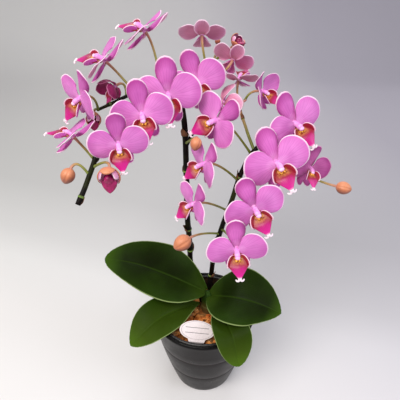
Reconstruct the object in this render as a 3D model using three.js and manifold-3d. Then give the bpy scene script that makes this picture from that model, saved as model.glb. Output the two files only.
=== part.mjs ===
// A potted moth orchid: a glazed cover pot with a grower pot of bark chips in it, four strap leaves on a
// short stem base, and two flower spikes whose side twigs carry open flowers, half-open flowers and buds.
// Millimetres, +Z up. The origin is the centre of the cover pot's base. The plant is viewed from -Y.
import * as THREE from "three";
import { mergeVertices } from "three/addons/utils/BufferGeometryUtils.js";
import Module from "manifold-3d";

const wasm = await Module();
wasm.setup();

// Driving sizes
const GAP = 0.4; // left between pieces that touch
const POT_HEIGHT = 117;
const POT_RIM_RADIUS = 66;
const POT_BASE_RADIUS = 39;
const POT_WALL = 4;
const POT_FLOOR = 6;
const GROOVE_HEIGHTS = [40, 78];
const GROOVE_DEPTH = 1.2;
const GROOVE_HALF_WIDTH = 2;
const POT_SIDES = 36;
const POT_EDGE = 2; // the bevels at its foot and its rim
const RIM_EDGE = 1;
const POT_PLAY = 1.9; // between the two pots' walls
const GROWER_WALL = 1.6;
const GROWER_LIP = 1; // how far the grower pot's lip stands below the cover pot's rim
const BARK_BELOW_LIP = 14;
const CHIP_SIZE = 13;
const CROWN_RADIUS = 8;
const CROWN_HEIGHT = 26; // above the bark
const LABEL_WIDTH = 41;
const LABEL_HEIGHT = 21;
const LABEL_THICKNESS = 1;
const LABEL_NECK = 9; // how far the neck reaches below the oval
const NECK_TOP_HALF = 9;
const NECK_FOOT_HALF = 6;
const LABEL_TURN = [38, 8]; // leans back from level, then turns a little, in degrees
const LEAF_THICKNESS = 2.4;
const LEAF_FOLD = 0.14; // rise of a leaf's edge, as a share of its half width
const STEM_RADIUS = 3.3;
const FOOT_HEIGHT = 9; // of a spike's foot above the bark
const PEDICEL_RADIUS = 1.2;
const FLOWER_RADIUS = 32; // from the column to the tip of a petal, at size 1

// Places that follow from the sizes
const GROWER_TOP = POT_HEIGHT - GROWER_LIP;
const POT_MIDDLE = POT_HEIGHT / 2;
const BARK_TOP = GROWER_TOP - BARK_BELOW_LIP;
const CROWN_TOP = BARK_TOP + CROWN_HEIGHT;
const CROWN_CENTRE = new THREE.Vector3(5, 12, BARK_TOP);
const CROWN_DEPTH = 22; // how far the stem base goes down into the bark
const HUB_RADIUS = FLOWER_RADIUS * 0.1125;
const SEPAL_THICKNESS = FLOWER_RADIUS * 0.034;
const NODE_DROP = FLOWER_RADIUS * 0.625; // a pedicel leaves its stem this far below where it ends
const PEDICEL_BEND = FLOWER_RADIUS * 0.4375;
const STEM_STEP = FLOWER_RADIUS * 0.3125; // between the stations of a stem's tube

// The plant's points are given in x and y from the pot's axis and in height above the bark. The lower
// leaves lie over the rim, so they reach out with it, and larger flowers stand further apart.
const RIM_REACH = POT_RIM_RADIUS / 66;
const SPREAD = FLOWER_RADIUS / 32;
const SPRAY_FOOT = new THREE.Vector3(0, 20, 80);

const COLOURS = {
  cover: 0x46424a,
  grower: 0x151416,
  bark: 0xb5652e,
  label: 0xe8dce0,
  crown: 0x5d7a32,
  leaf: 0x1e3c12,
  stem: 0x2a1c14,
  flower: 0xe07ad8,
  bud: 0xe0906a,
};

const orchid = new THREE.Group();

function solid(geometry) {
  const bare = geometry.clone();
  bare.deleteAttribute("normal");
  bare.deleteAttribute("uv");
  const merged = mergeVertices(bare, 1e-3);
  return new wasm.Manifold(
    new wasm.Mesh({
      numProp: 3,
      vertProperties: merged.attributes.position.array,
      triVerts: new Uint32Array(merged.index.array),
    }),
  );
}

function joined(solids) {
  return solids.reduce((all, next) => all.add(next));
}

function addPiece(name, body, colour, roughness) {
  const mesh = body.getMesh();
  const geometry = new THREE.BufferGeometry();
  geometry.setAttribute("position", new THREE.BufferAttribute(mesh.vertProperties, 3));
  geometry.setIndex(new THREE.BufferAttribute(mesh.triVerts, 1));
  geometry.computeVertexNormals();
  const material = new THREE.MeshStandardMaterial({ color: colour, roughness, metalness: 0 });
  const piece = new THREE.Mesh(geometry, material);
  piece.name = name;
  orchid.add(piece);
}

function turned(profile, sides) {
  const points = profile.map(([radius, height]) => new THREE.Vector2(radius, height));
  const lathe = new THREE.LatheGeometry(points, sides);
  lathe.rotateX(Math.PI / 2);
  return solid(lathe);
}

// ---- Pots -----------------------------------------------------------------------------------------

// The cover pot flares in a nearly straight line; its inside follows at the wall's thickness.
function coverRadius(height) {
  const share = height / POT_HEIGHT;
  const belly = 2.5 * Math.sin(Math.PI * share);
  return POT_BASE_RADIUS + (POT_RIM_RADIUS - POT_BASE_RADIUS) * share + belly;
}

function makeCoverPot() {
  const outside = [[0, 0], [POT_BASE_RADIUS - POT_EDGE, 0], [coverRadius(POT_EDGE), POT_EDGE]];
  for (const height of GROOVE_HEIGHTS) {
    outside.push([coverRadius(height - GROOVE_HALF_WIDTH), height - GROOVE_HALF_WIDTH]);
    outside.push([coverRadius(height) - GROOVE_DEPTH, height]);
    outside.push([coverRadius(height + GROOVE_HALF_WIDTH), height + GROOVE_HALF_WIDTH]);
  }
  outside.push([coverRadius(POT_HEIGHT - RIM_EDGE), POT_HEIGHT - RIM_EDGE]);
  outside.push([POT_RIM_RADIUS - RIM_EDGE, POT_HEIGHT]);
  const inside = [[POT_RIM_RADIUS - POT_WALL, POT_HEIGHT]];
  for (const height of [...GROOVE_HEIGHTS].reverse()) {
    inside.push([coverRadius(height) - POT_WALL, height]);
  }
  inside.push([coverRadius(POT_FLOOR) - POT_WALL, POT_FLOOR], [0, POT_FLOOR]);
  return turned([...outside, ...inside], POT_SIDES);
}

// The grower pot stands on the cover pot's floor and stays clear of its wall.
function growerRadius(height) {
  return coverRadius(height) - POT_WALL - POT_PLAY;
}

function makeGrowerPot() {
  const foot = POT_FLOOR + GAP;
  const floor = foot + GROWER_WALL;
  const outside = [foot, POT_MIDDLE, BARK_TOP, GROWER_TOP].map((z) => [growerRadius(z), z]);
  const inside = [GROWER_TOP, BARK_TOP, POT_MIDDLE, floor].map((z) => [growerRadius(z) - GROWER_WALL, z]);
  return turned([[0, foot], ...outside, ...inside, [0, floor]], POT_SIDES);
}

// ---- Bark and stem base ---------------------------------------------------------------------------

function crownSolid(extra) {
  const low = BARK_TOP - CROWN_DEPTH - extra;
  const body = turned(
    [
      [0, low],
      [CROWN_RADIUS * 0.6 + extra, low],
      [CROWN_RADIUS + extra, BARK_TOP],
      [CROWN_RADIUS * 0.8 + extra, CROWN_TOP - 4],
      [0, CROWN_TOP],
    ],
    14,
  );
  return body.translate([CROWN_CENTRE.x, CROWN_CENTRE.y, 0]);
}

// Bark chips lie on a level bed: rings of tilted blocks around the stem base, all inside the grower pot.
function makeBark() {
  const foot = POT_FLOOR + 2 * GAP + GROWER_WALL;
  const clear = GROWER_WALL + GAP;
  const wall = [foot, POT_MIDDLE, BARK_TOP].map((z) => [growerRadius(z) - clear, z]);
  const bed = turned([[0, foot], ...wall, [0, BARK_TOP]], POT_SIDES);
  const pieces = [bed];
  const reach = growerRadius(BARK_TOP) - clear - CHIP_SIZE * 0.9;
  for (const [ring, count] of [[0.45, 6], [0.72, 9], [1, 12]]) {
    for (let i = 0; i < count; i += 1) {
      const angle = (i + ring * 3) * ((2 * Math.PI) / count);
      const chip = new THREE.BoxGeometry(CHIP_SIZE, CHIP_SIZE * 0.6, CHIP_SIZE * 0.45);
      chip.rotateY(0.5 * Math.sin(5 * angle + ring * 9));
      chip.rotateZ(angle * 2.3);
      chip.translate(reach * ring * Math.cos(angle), reach * ring * Math.sin(angle), BARK_TOP);
      pieces.push(solid(chip));
    }
  }
  return joined(pieces);
}

// ---- Label ----------------------------------------------------------------------------------------

// An oval plate on a tapered neck that goes down into the bark; it leans back on the pot's front.
function makeLabel(grow) {
  const plate = new THREE.Shape();
  plate.absellipse(0, 0, LABEL_WIDTH / 2 + grow, LABEL_HEIGHT / 2 + grow, 0, 2 * Math.PI, false, 0);
  const neck = new THREE.Shape();
  const foot = -LABEL_HEIGHT / 2 - LABEL_NECK - grow;
  neck.moveTo(-NECK_TOP_HALF - grow, -LABEL_HEIGHT / 4);
  neck.lineTo(-NECK_FOOT_HALF - grow, foot);
  neck.lineTo(NECK_FOOT_HALF + grow, foot);
  neck.lineTo(NECK_TOP_HALF + grow, -LABEL_HEIGHT / 4);
  const options = { depth: LABEL_THICKNESS + 2 * grow, bevelEnabled: false, curveSegments: 12 };
  const both = [plate, neck].map((shape) => solid(new THREE.ExtrudeGeometry(shape, options)));
  const flat = joined(both).translate([0, 0, -grow]);
  const lean = flat.rotate([LABEL_TURN[0], 0, 0]).rotate([0, LABEL_TURN[1], 0]);
  const forward = growerRadius(BARK_TOP) - LABEL_HEIGHT;
  return lean.translate([-9, -forward, BARK_TOP + LABEL_HEIGHT / 2]);
}

// ---- Leaves ---------------------------------------------------------------------------------------

// A leaf is a strap bent along its midrib: folded to a shallow V, widest past its middle, drawn in to a
// channel at its base and to a blunt point at its tip. tilt turns its face about the midrib, most
// at the base; a fullest above 1 puts its widest place nearer to the tip.
const LEAVES = [
  { name: "leaf_left_upper", rib: [[1, 13, 30], [-42, 20, 48], [-86, 25, 64], [-126, 28, 70]],
    width: 72, tilt: -24, fullest: 0.85, reach: 1 },
  { name: "leaf_left_lower", rib: [[-3, 5, 12], [-28, -12, 21], [-58, -32, 20], [-86, -48, 1]],
    width: 50, tilt: -14, fullest: 1.25, reach: RIM_REACH },
  { name: "leaf_right_upper", rib: [[12, 10, 31], [38, -8, 43], [66, -18, 43], [91, -28, 37]],
    width: 72, tilt: 18, fullest: 0.85, reach: 1 },
  { name: "leaf_right_lower", rib: [[9, 1, 12], [20, -26, 25], [31, -54, 24], [40, -72, -8]],
    width: 42, tilt: 6, fullest: 1.25, reach: RIM_REACH },
];

function leafHalfWidth(share, width, fullest) {
  const body = Math.sin(Math.PI * Math.min(1, 0.06 + 0.94 * share) ** fullest) ** 0.6;
  return Math.max(1.2, (width / 2) * body);
}

// A leaf's foot stays outside the stem base, and the rest of its rib reaches out from there.
function ribPoint([x, y, z], reach) {
  return new THREE.Vector3(
    CROWN_CENTRE.x + (x - CROWN_CENTRE.x) * reach,
    CROWN_CENTRE.y + (y - CROWN_CENTRE.y) * reach,
    BARK_TOP + z,
  );
}

function makeLeaf({ rib, width, tilt, fullest, reach }) {
  const curve = new THREE.CatmullRomCurve3(rib.map((p) => ribPoint(p, reach)));
  const blade = new THREE.BoxGeometry(2, 1, 1, 4, 8, 1);
  const place = blade.attributes.position;
  const up = new THREE.Vector3(0, 0, 1);
  for (let i = 0; i < place.count; i += 1) {
    const across = place.getX(i);
    const share = place.getY(i) + 0.5;
    const depth = place.getZ(i);
    const along = curve.getTangentAt(share);
    const side = new THREE.Vector3().crossVectors(along, up).normalize();
    side.applyAxisAngle(along, THREE.MathUtils.degToRad(tilt) * (1.4 - 0.5 * share));
    const face = new THREE.Vector3().crossVectors(side, along);
    const half = leafHalfWidth(share, width, fullest);
    const fold = LEAF_FOLD * half * across * across * (1 + 2.2 * (1 - share) ** 2);
    const thick = LEAF_THICKNESS * (1 - 0.5 * Math.abs(across)) * depth;
    const point = curve.getPointAt(share);
    point.addScaledVector(side, across * half).addScaledVector(face, fold + thick);
    place.setXYZ(i, point.x, point.y, point.z);
  }
  return solid(blade);
}

// ---- Flowers --------------------------------------------------------------------------------------

// A flower's own frame: +Z the way it faces, +Y to the tip of its dorsal sepal. Facing is given as the
// turn to the right of -Y and the rise above level; roll leans the dorsal sepal to the right.
function flowerTurn(azimuth, rise, roll) {
  const [a, e, r] = [azimuth, rise, roll].map(THREE.MathUtils.degToRad);
  const face = new THREE.Vector3(Math.sin(a) * Math.cos(e), -Math.cos(a) * Math.cos(e), Math.sin(e));
  const top = new THREE.Vector3(-Math.sin(a) * Math.sin(e), Math.cos(a) * Math.sin(e), Math.cos(e));
  top.applyAxisAngle(face, -r);
  const right = new THREE.Vector3().crossVectors(top, face);
  return new THREE.Matrix4().makeBasis(right, top, face);
}

// One petal or sepal: a thin blade from the hub outwards, at an angle from the flower's top.
function blade({ length, width, angle, rise, peak }) {
  const strip = new THREE.BoxGeometry(2, 1, 1, 2, 3, 1);
  const place = strip.attributes.position;
  const turn = THREE.MathUtils.degToRad(-angle);
  for (let i = 0; i < place.count; i += 1) {
    const across = place.getX(i);
    const share = place.getY(i) + 0.5;
    const bulge = Math.sin(Math.PI * (0.08 + 0.84 * share) ** peak);
    const x = across * (width / 2) * bulge;
    const y = length * share;
    const z = rise * share + SEPAL_THICKNESS * place.getZ(i);
    place.setXYZ(i, x * Math.cos(turn) - y * Math.sin(turn), x * Math.sin(turn) + y * Math.cos(turn), z);
  }
  return solid(strip);
}

function makeFlower(size) {
  const full = FLOWER_RADIUS;
  const parts = [
    blade({ length: full * 1.08, width: full * 0.6, angle: 0, rise: full * -0.03, peak: 1.1 }),
    blade({ length: full * 0.92, width: full * 0.55, angle: 152, rise: full * -0.15, peak: 1.1 }),
    blade({ length: full * 0.92, width: full * 0.55, angle: 208, rise: full * -0.15, peak: 1.1 }),
    blade({ length: full, width: full * 1.0, angle: 80, rise: full * 0.06, peak: 1.2 }),
    blade({ length: full, width: full * 1.0, angle: -80, rise: full * 0.06, peak: 1.2 }),
  ];
  const hub = new THREE.CylinderGeometry(HUB_RADIUS, HUB_RADIUS, 2 * HUB_RADIUS, 6);
  hub.rotateX(Math.PI / 2);
  const column = new THREE.CylinderGeometry(full * 0.07, full * 0.09, full * 0.36, 5);
  column.rotateX(1.2);
  column.translate(0, -full * 0.04, full * 0.16);
  const lip = new THREE.CylinderGeometry(full * 0.12, full * 0.29, full * 0.62, 4, 1);
  lip.scale(1, 1, 0.35);
  lip.rotateX(-0.25);
  lip.translate(0, -full * 0.48, full * 0.22);
  const cup = new THREE.SphereGeometry(full * 0.27, 6, 4);
  cup.scale(1, 0.7, 0.75);
  cup.translate(0, -full * 0.27, full * 0.2);
  parts.push(solid(hub), solid(column), solid(lip), solid(cup));
  return joined(parts).scale([size, size, size]);
}

// A half-open flower: a ball of sepals with the lip pushing out in front.
function makeHalfOpen(size) {
  const ball = new THREE.SphereGeometry(size * 0.5, 7, 6);
  ball.scale(1, 1.1, 0.8);
  const lip = new THREE.SphereGeometry(size * 0.3, 5, 4);
  lip.translate(0, -size * 0.35, size * 0.25);
  return joined([solid(ball), solid(lip)]);
}

// A closed bud is a smooth egg that narrows to its tip.
function makeBud(size) {
  const half = size / 2;
  const outline = [[0, -half * 0.95], [half * 0.55, -half * 0.75], [half * 0.85, -half * 0.2]];
  outline.push([half * 0.8, half * 0.35], [half * 0.45, half * 0.85], [0, half]);
  return turned(outline, 8);
}

// Each flower: its place, how it faces (turn, rise, roll, in degrees), its size and its stem.
const OPEN = [
  { name: "flower_left_1", at: [-36, 12, 284], face: [4, 2, -3], size: 1.05, stem: "arch" },
  { name: "flower_left_2", at: [-59, -9, 273], face: [6, 0, -11], size: 0.95, stem: "arch" },
  { name: "flower_left_3", at: [-79, -35, 254], face: [12, -6, -4], size: 0.88, stem: "arch" },
  { name: "flower_left_4", at: [-8, 44, 287], face: [2, 2, -20], size: 1.0, stem: "back" },
  { name: "flower_left_5", at: [-61, 56, 337], face: [-95, 50, 20], size: 0.95, stem: "arch" },
  { name: "flower_left_6", at: [-99, 32, 313], face: [-80, 42, 25], size: 0.92, stem: "arch" },
  { name: "flower_left_7", at: [-116, -4, 286], face: [-45, -8, 22], size: 0.86, stem: "side" },
  { name: "flower_left_8", at: [-124, -22, 256], face: [-90, 52, 0], size: 0.78, stem: "arch" },
  { name: "flower_left_9", at: [-91, 32, 287], face: [-50, -25, 0], size: 0.6, stem: "side" },
  { name: "flower_top_1", at: [-3, 70, 331], face: [180, 50, 0], size: 0.78, stem: "back" },
  { name: "flower_top_2", at: [29, 65, 305], face: [160, 35, -30], size: 0.72, stem: "back" },
  { name: "flower_top_3", at: [36, 62, 284], face: [150, 62, 0], size: 0.68, stem: "twig" },
  { name: "flower_top_4", at: [20, 50, 266], face: [115, -10, 0], size: 0.7, stem: "back" },
  { name: "flower_top_5", at: [60, 48, 278], face: [50, 5, -25], size: 0.75, stem: "twig" },
  { name: "flower_right_1", at: [92, 18, 253], face: [22, 6, -27], size: 1.02, stem: "right" },
  { name: "flower_right_2", at: [71, -14, 224], face: [10, 8, -22], size: 1.08, stem: "right" },
  { name: "flower_right_3", at: [49, -38, 186], face: [10, 2, -25], size: 1.0, stem: "right" },
  { name: "flower_right_4", at: [32, -49, 146], face: [0, 0, -7], size: 0.98, stem: "right" },
  { name: "flower_right_5", at: [112, -1, 210], face: [20, 5, 17], size: 0.75, stem: "right" },
  { name: "flower_right_6", at: [15, 14, 259], face: [-45, 5, 48], size: 0.95, stem: "right" },
  { name: "flower_right_7", at: [-1, -14, 223], face: [-62, 0, 30], size: 0.85, stem: "right" },
  { name: "flower_right_8", at: [-11, -34, 189], face: [-62, 0, 25], size: 0.8, stem: "right" },
];

const HALF_OPEN = [
  { name: "half_open_1", at: [-85, -59, 232], face: [0, -35, 0], size: 20, stem: "arch" },
  { name: "half_open_2", at: [-111, 12, 260], face: [10, -20, 0], size: 15, stem: "side" },
  { name: "half_open_3", at: [35, 76, 323], face: [40, 40, 0], size: 15, stem: "back" },
];

const BUDS = [
  { name: "bud_left", at: [-125, -50, 228], face: [-60, -60, 0], size: 15, stem: "arch" },
  { name: "bud_right", at: [148, 0, 188], face: [80, -10, 0], size: 16, stem: "right" },
  { name: "bud_low", at: [-24, -29, 137], face: [-60, -20, 0], size: 20, stem: "right" },
  { name: "bud_middle", at: [-9, -16, 245], face: [-20, -50, 0], size: 13, stem: "arch" },
  { name: "bud_top", at: [14, 84, 322], face: [0, 80, 0], size: 7, stem: "back" },
];

// ---- Spikes ---------------------------------------------------------------------------------------

// Where a point of the spray stands: the stems' feet stay with the leaves, and all above opens with the
// size of the flowers.
function inSpray([x, y, z]) {
  const point = new THREE.Vector3(x, y, z);
  if (z > SPRAY_FOOT.z) {
    point.sub(SPRAY_FOOT).multiplyScalar(SPREAD).add(SPRAY_FOOT);
  }
  point.z += BARK_TOP;
  return point;
}

// A spike grows out of the side of the stem base, between the feet of the leaves.
function spikeFoot(away, radius) {
  const from = CROWN_RADIUS + radius + GAP;
  const way = new THREE.Vector2(...away).setLength(from);
  return [CROWN_CENTRE.x + way.x, CROWN_CENTRE.y + way.y, FOOT_HEIGHT];
}

// Where each stem runs. The left spike rises behind the stem base and arches to the left, with a twig to
// the side and one at the back; the right spike leans forwards and to the right, with one upward twig.
const STEMS = {
  arch: {
    spike: "spike_left",
    radius: STEM_RADIUS,
    route: [spikeFoot([-7, 10], STEM_RADIUS), [-4, 30, 25], [-12, 46, 48], [-17, 40, 83], [-20, 25, 138],
      [-20, 21, 198], [-22, 26, 258], [-28, 32, 280], [-43, 36, 290], [-60, 24, 284], [-77, 3, 267],
      [-89, -14, 253], [-99, -30, 244], [-104, -45, 232], [-109, -60, 219], [-114, -69, 209]],
  },
  side: {
    spike: "spike_left",
    radius: 1.9,
    route: [[-60, 24, 284], [-76, 26, 280], [-92, 20, 274], [-106, 14, 269]],
  },
  back: {
    spike: "spike_left",
    radius: 1.9,
    route: [[-21, 22, 223], [-13, 34, 236], [2, 48, 248], [-1, 58, 270], [2, 64, 296], [10, 72, 318]],
  },
  right: {
    spike: "spike_right",
    radius: STEM_RADIUS * 0.85,
    route: [spikeFoot([3, 12], STEM_RADIUS), [8, 27, 25], [10, 32, 43], [12, 20, 80], [19, 2, 133],
      [30, 4, 171], [38, 6, 201], [52, 16, 224], [74, 24, 236], [94, 28, 224], [108, 22, 204],
      [112, 14, 195]],
  },
  twig: {
    spike: "spike_right",
    radius: 1.7,
    route: [[52, 16, 224], [44, 30, 243], [38, 46, 264], [44, 48, 269]],
  },
};

for (const stem of Object.values(STEMS)) {
  stem.curve = new THREE.CatmullRomCurve3(stem.route.map(inSpray));
}

function tube(curve, radius, steps) {
  const section = new THREE.Shape();
  section.absarc(0, 0, radius, 0, 2 * Math.PI, false);
  const options = { extrudePath: curve, steps, curveSegments: 3, bevelEnabled: false };
  return solid(new THREE.ExtrudeGeometry(section, options));
}

function nearest(curve, point) {
  const spots = curve.getSpacedPoints(60);
  return spots.reduce((best, next) => (next.distanceTo(point) < best.distanceTo(point) ? next : best));
}

// A pedicel leaves its stem, and runs into the back of its flower or bud along the way it faces.
function pedicel({ at, face, stem, back }) {
  const way = new THREE.Vector3(0, 0, 1).applyMatrix4(flowerTurn(...face));
  const end = inSpray(at).addScaledVector(way, -(back + GAP));
  const bend = end.clone().addScaledVector(way, -PEDICEL_BEND);
  const low = bend.clone().setZ(bend.z - NODE_DROP);
  const start = nearest(STEMS[stem].curve, low);
  return tube(new THREE.QuadraticBezierCurve3(start, bend, end), PEDICEL_RADIUS, 4);
}

const grownParts = [];
for (const row of OPEN) {
  const back = HUB_RADIUS * row.size;
  grownParts.push({ ...row, body: makeFlower(row.size), colour: COLOURS.flower, back });
}
for (const row of HALF_OPEN) {
  const size = row.size * SPREAD;
  grownParts.push({ ...row, body: makeHalfOpen(size), colour: COLOURS.bud, back: size * 0.4 });
}
for (const row of BUDS) {
  const size = row.size * SPREAD;
  grownParts.push({ ...row, body: makeBud(size), colour: COLOURS.bud, back: size * 0.475 });
}

function makeSpike(name) {
  const parts = [];
  for (const stem of Object.values(STEMS).filter((s) => s.spike === name)) {
    parts.push(tube(stem.curve, stem.radius, Math.round(stem.curve.getLength() / STEM_STEP)));
  }
  for (const grown of grownParts.filter((g) => STEMS[g.stem].spike === name)) {
    parts.push(pedicel(grown));
  }
  return joined(parts);
}

// ---- The whole object -----------------------------------------------------------------------------

addPiece("cover_pot", makeCoverPot(), COLOURS.cover, 0.35);
addPiece("grower_pot", makeGrowerPot(), COLOURS.grower, 0.5);
addPiece("bark_mix", makeBark().subtract(crownSolid(GAP)).subtract(makeLabel(GAP)), COLOURS.bark, 0.9);
addPiece("plant_label", makeLabel(0), COLOURS.label, 0.6);
addPiece("stem_base", crownSolid(0), COLOURS.crown, 0.6);
for (const leaf of LEAVES) {
  addPiece(leaf.name, makeLeaf(leaf), COLOURS.leaf, 0.4);
}
addPiece("spike_left", makeSpike("spike_left"), COLOURS.stem, 0.6);
addPiece("spike_right", makeSpike("spike_right"), COLOURS.stem, 0.6);
for (const { name, at, face, body, colour } of grownParts) {
  const place = flowerTurn(...face).setPosition(inSpray(at));
  addPiece(name, body.transform(place.elements), colour, 0.5);
}

export default orchid;
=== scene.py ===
import random
from math import atan2, cos, exp, hypot, pi, radians, sin, sqrt

import bmesh
import bpy
from mathutils import Matrix, Vector


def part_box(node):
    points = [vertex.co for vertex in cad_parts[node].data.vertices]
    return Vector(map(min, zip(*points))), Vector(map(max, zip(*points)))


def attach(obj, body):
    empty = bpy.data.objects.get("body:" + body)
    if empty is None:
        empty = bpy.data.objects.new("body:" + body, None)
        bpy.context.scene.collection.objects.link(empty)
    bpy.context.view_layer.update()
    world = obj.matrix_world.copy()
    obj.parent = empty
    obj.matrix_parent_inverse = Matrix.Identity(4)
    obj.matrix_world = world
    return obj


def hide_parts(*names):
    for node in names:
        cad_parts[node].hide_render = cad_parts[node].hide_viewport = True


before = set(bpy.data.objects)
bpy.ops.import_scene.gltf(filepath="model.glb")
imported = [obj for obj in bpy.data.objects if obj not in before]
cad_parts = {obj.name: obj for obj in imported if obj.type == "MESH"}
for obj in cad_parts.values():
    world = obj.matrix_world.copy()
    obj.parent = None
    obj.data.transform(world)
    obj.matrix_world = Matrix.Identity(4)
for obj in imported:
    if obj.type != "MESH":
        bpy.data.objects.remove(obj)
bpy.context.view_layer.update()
bpy.ops.object.select_all(action="DESELECT")

# ---- Studio ----
# A pale paper sweep runs from the table up behind the plant. One large soft box above the front
# lights it, with two weaker ones at the right and behind, and an even room light.

MM = 0.001


def linear(code):
    """A colour written as sRGB hex, as the linear RGBA that a shader takes."""
    parts = [int(code[i : i + 2], 16) / 255 for i in (1, 3, 5)]
    return (*[p / 12.92 if p <= 0.04045 else ((p + 0.055) / 1.055) ** 2.4 for p in parts], 1)


class Value:
    """A value in a finish's node tree. Sums on it are written as sums, and add Math nodes."""

    def __init__(self, socket):
        self.socket = socket


for method, operation in {
    "__add__": "ADD",
    "__sub__": "SUBTRACT",
    "__mul__": "MULTIPLY",
    "__truediv__": "DIVIDE",
    "__pow__": "POWER",
    "__lt__": "LESS_THAN",
    "__abs__": "ABSOLUTE",
}.items():
    setattr(Value, method, lambda a, b=0.0, kind=operation: calculated(kind, a, b))


def node(tree, kind, inputs=None, **settings):
    """Adds a node. settings are its properties, inputs plain values or those of other nodes."""
    made = tree.nodes.new("ShaderNode" + kind)
    for key, value in settings.items():
        setattr(made, key, value)
    for key, value in (inputs or {}).items():
        if isinstance(value, Value):
            tree.links.new(value.socket, made.inputs[key])
        else:
            made.inputs[key].default_value = value
    return made


def tree_of(*values):
    return next(value.socket.id_data for value in values if isinstance(value, Value))


def source(finish, kind, output, **settings):
    return Value(node(finish.node_tree, kind, **settings).outputs[output])


def new_finish(name):
    """A new material, and the place of each point on the piece that wears it."""
    finish = bpy.data.materials.new(name)
    finish.use_nodes = True
    return finish, source(finish, "TexCoord", "Object")


def calculated(operation, a, b=0.0):
    return Value(node(tree_of(a), "Math", {0: a, 1: b}, operation=operation).outputs[0])


def split(place):
    return [Value(socket) for socket in node(tree_of(place), "SeparateXYZ", {0: place}).outputs]


def blade_place(finish):
    """Where a point is on a blade: 0 to 1 across it, and 0 to 1 along it from its foot."""
    return split(source(finish, "UVMap", 0, uv_map="blade"))


def mapped(place, **settings):
    return Value(node(tree_of(place), "Mapping", {"Vector": place, **settings}).outputs[0])


def remap(value, low=0.0, high=1.0, to_low=0.0, to_high=1.0):
    inputs = {0: value, 1: low, 2: high, 3: to_low, 4: to_high}
    return Value(node(tree_of(value), "MapRange", inputs).outputs[0])


def mixed(factor, a, b, blend="MIX"):
    a, b = (linear(colour) if isinstance(colour, str) else colour for colour in (a, b))
    inputs = {0: factor, 6: a, 7: b}
    made = node(tree_of(factor, a), "Mix", inputs, data_type="RGBA", blend_type=blend)
    return Value(made.outputs[2])


def layered(colour, *layers):
    """A colour with more colours laid over it, each by its own share."""
    for share, tint in layers:
        colour = mixed(share, colour, tint)
    return colour


def ramp(factor, stops):
    """A colour ramp with stops of (place, hex colour or grey level)."""
    made = node(tree_of(factor), "ValToRGB", {0: factor})
    while len(made.color_ramp.elements) < len(stops):
        made.color_ramp.elements.new(0.5)
    for element, (place, colour) in zip(made.color_ramp.elements, stops):
        element.position = place
        element.color = linear(colour) if isinstance(colour, str) else (colour, colour, colour, 1)
    return Value(made.outputs[0])


def noise(place, scale, detail=3.0, roughness=0.5):
    inputs = {"Vector": place, "Scale": scale, "Detail": detail, "Roughness": roughness}
    return Value(node(tree_of(place), "TexNoise", inputs).outputs[0])


def feed(value, name):
    """Links a value to an input of its finish's shader."""
    tree = tree_of(value)
    tree.links.new(value.socket, tree.nodes["Principled BSDF"].inputs[name])


def relief(height, strength, depth):
    """Bump of a given depth in metres."""
    inputs = {"Height": height, "Strength": strength, "Distance": depth}
    feed(Value(node(tree_of(height), "Bump", inputs).outputs[0]), "Normal")


def set_up(finish, **values):
    """Sets inputs of a finish's shader that are the same all over the piece."""
    for key, value in values.items():
        name = key.replace("_", " ").title().replace("Ior", "IOR")
        finish.node_tree.nodes["Principled BSDF"].inputs[name].default_value = value


def select_only(*things):
    bpy.ops.object.select_all(action="DESELECT")
    for thing in things:
        thing.select_set(True)
    bpy.context.view_layer.objects.active = things[0]


def spin(degrees, axis):
    return Matrix.Rotation(radians(degrees), 4, axis)


def place_in_mesh(piece):
    """Leaves the piece's object at the origin, unturned, with its place in its mesh."""
    select_only(piece)
    bpy.ops.object.transform_apply(location=True, rotation=True, scale=True)


def dress(piece, *finishes):
    for finish in finishes:
        piece.data.materials.append(finish)


def ball(radius, scale, place, rings, finish):
    bpy.ops.mesh.primitive_uv_sphere_add(
        segments=14, ring_count=rings, radius=radius, location=place
    )
    piece = bpy.context.object
    piece.scale = scale
    place_in_mesh(piece)
    bpy.ops.object.shade_smooth()
    dress(piece, finish)
    return piece


def edit_edges(piece, chosen):
    """Enters edit mode with the edges selected whose two ends are both chosen."""
    bpy.ops.object.mode_set(mode="EDIT")
    bpy.ops.mesh.select_mode(type="EDGE")
    bpy.ops.mesh.select_all(action="DESELECT")
    bpy.ops.object.mode_set(mode="OBJECT")
    for edge in piece.data.edges:
        edge.select = all(chosen(piece.data.vertices[i].co) for i in edge.vertices)
    bpy.ops.object.mode_set(mode="EDIT")


def extrude(*step):
    bpy.ops.mesh.extrude_region_move(TRANSFORM_OT_translate={"value": step})


def end_edit():
    """Leaves edit mode, with all faces turned outwards."""
    bpy.ops.mesh.select_all(action="SELECT")
    bpy.ops.mesh.normals_make_consistent(inside=False)
    bpy.ops.object.mode_set(mode="OBJECT")


FLOOR_HALF = (2.6, 1.6)
BEND_STEPS = 9
BEND_STEP = 0.14
WALL_HEIGHT = 2.2
bpy.ops.mesh.primitive_plane_add(size=2, location=(0, 0, 0))
sweep = bpy.context.object
sweep.name = "paper_sweep"
sweep.scale = (*FLOOR_HALF, 1)
place_in_mesh(sweep)
edit_edges(sweep, lambda end: end.y > 1)
for turn in range(BEND_STEPS):
    angle = radians(90 * (turn + 0.5) / BEND_STEPS)
    extrude(0, BEND_STEP * cos(angle), BEND_STEP * sin(angle))
extrude(0, 0, WALL_HEIGHT)
bpy.ops.object.mode_set(mode="OBJECT")
bpy.ops.object.shade_smooth()
paper, where = new_finish("grey_white_paper")
paper_x, paper_y, _ = split(where)
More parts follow.
